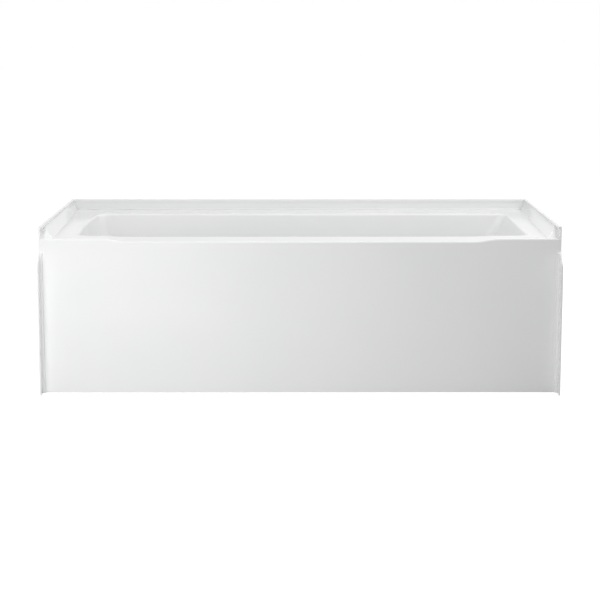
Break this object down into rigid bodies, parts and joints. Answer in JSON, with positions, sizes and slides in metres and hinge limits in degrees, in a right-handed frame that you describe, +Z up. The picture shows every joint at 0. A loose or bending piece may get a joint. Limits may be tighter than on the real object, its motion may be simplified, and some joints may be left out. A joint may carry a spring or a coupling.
{
  "type": "alcove bathtub",
  "caption": "White moulded bathtub for an alcove, with a flat apron in front, a tile flange on three sides, supports under the basin, a waste and overflow set, and a toe-press stopper.",
  "frame": {"origin": "on the floor under the middle of the bath's outer box, fixing flanges included", "axes": "+X along the bath away from the drain end, +Y from the apron to the back wall, +Z up"},
  "size_m": [1.524, 0.808, 0.493],
  "materials": {
    "acrylic": "high gloss white sanitary acrylic",
    "fibreglass": "rough sprayed glass fibre and resin",
    "strand_board": "pressed wood strands",
    "timber": "sawn softwood",
    "foot_plastic": "moulded, fine grain",
    "screw_steel": "zinc plated",
    "chrome": "polished",
    "seal_rubber": "matt moulded",
    "pipe_plastic": "white pipe plastic, slight sheen",
    "nut_plastic": "white moulded plastic",
    "post_brass": "turned",
    "spring_steel": "bare wire"
  },
  "bodies": {
    "tub": {"tub_shell": "acrylic", "fibreglass_backing": "fibreglass", "floor_board": "strand_board", "front_base_runner": "timber", "rear_base_runner": "timber", "apron_battens": "timber", "apron_foot_rail": "timber", "front_rim_batten": "timber", "back_deck_batten": "timber", "left_deck_batten": "timber", "right_deck_batten": "timber", "support_feet": "foot_plastic", "foot_screws": "screw_steel", "drain_flange": "chrome", "overflow_plate": "chrome", "overflow_screws": "chrome", "drain_seal": "seal_rubber", "shoe_gasket": "seal_rubber", "overflow_gasket": "seal_rubber", "slip_washers": "seal_rubber", "outlet_washer": "seal_rubber", "drain_shoe": "pipe_plastic", "waste_tube": "pipe_plastic", "waste_tee": "pipe_plastic", "overflow_tube": "pipe_plastic", "overflow_elbow": "pipe_plastic", "slip_nuts": "nut_plastic", "outlet_nut": "nut_plastic", "stopper_post": "post_brass", "stopper_spring": "spring_steel"},
    "stopper": {"stopper_cap": "chrome", "stopper_seal": "seal_rubber"}
  },
  "joints": [
    {"name": "stopper_press", "type": "slide", "parent": "tub", "child": "stopper", "axis": [0, 0, -1], "range_m": [0, 0.01], "stiffness_N_per_m": 150, "springref_m": -0.012, "deforming": ["stopper_spring"]}
  ]
}
